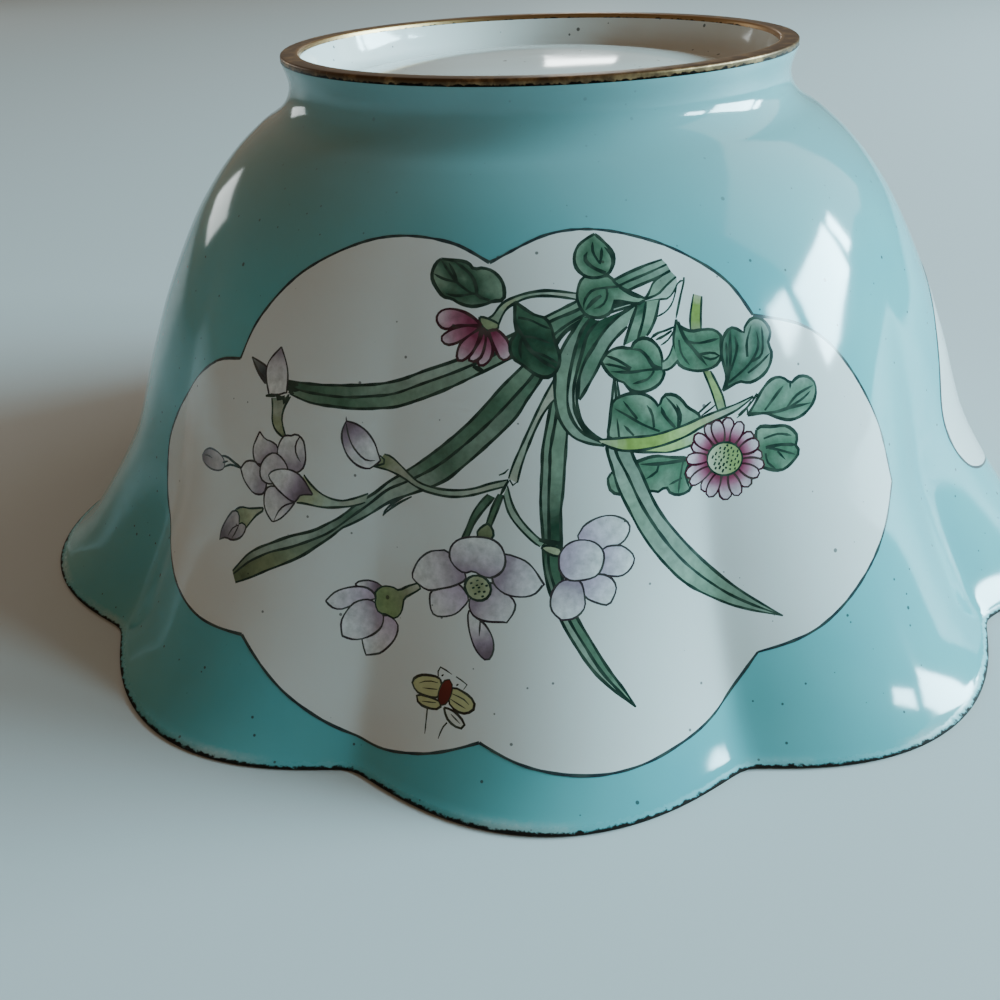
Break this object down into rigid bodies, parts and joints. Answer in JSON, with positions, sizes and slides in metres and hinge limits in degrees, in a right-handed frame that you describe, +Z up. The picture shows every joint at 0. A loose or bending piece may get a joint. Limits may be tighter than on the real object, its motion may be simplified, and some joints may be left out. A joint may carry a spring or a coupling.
{
  "type": "painted enamel bowl",
  "caption": "Small lobed bowl of painted enamel on copper, with a foot ring, turned over on its rim.",
  "frame": {"origin": "middle of the rim's resting plane; the bowl is turned over, with its foot ring upwards", "axes": "+Z up along the bowl's own axis, from the rim to the foot; one lobe's tip faces -Y"},
  "size_m": [0.145, 0.15, 0.0652],
  "materials": {
    "turquoise_enamel": "gloss",
    "white_enamel": "gloss"
  },
  "bodies": {
    "root": {"bowl": "turquoise_enamel"}
  },
  "joints": []
}
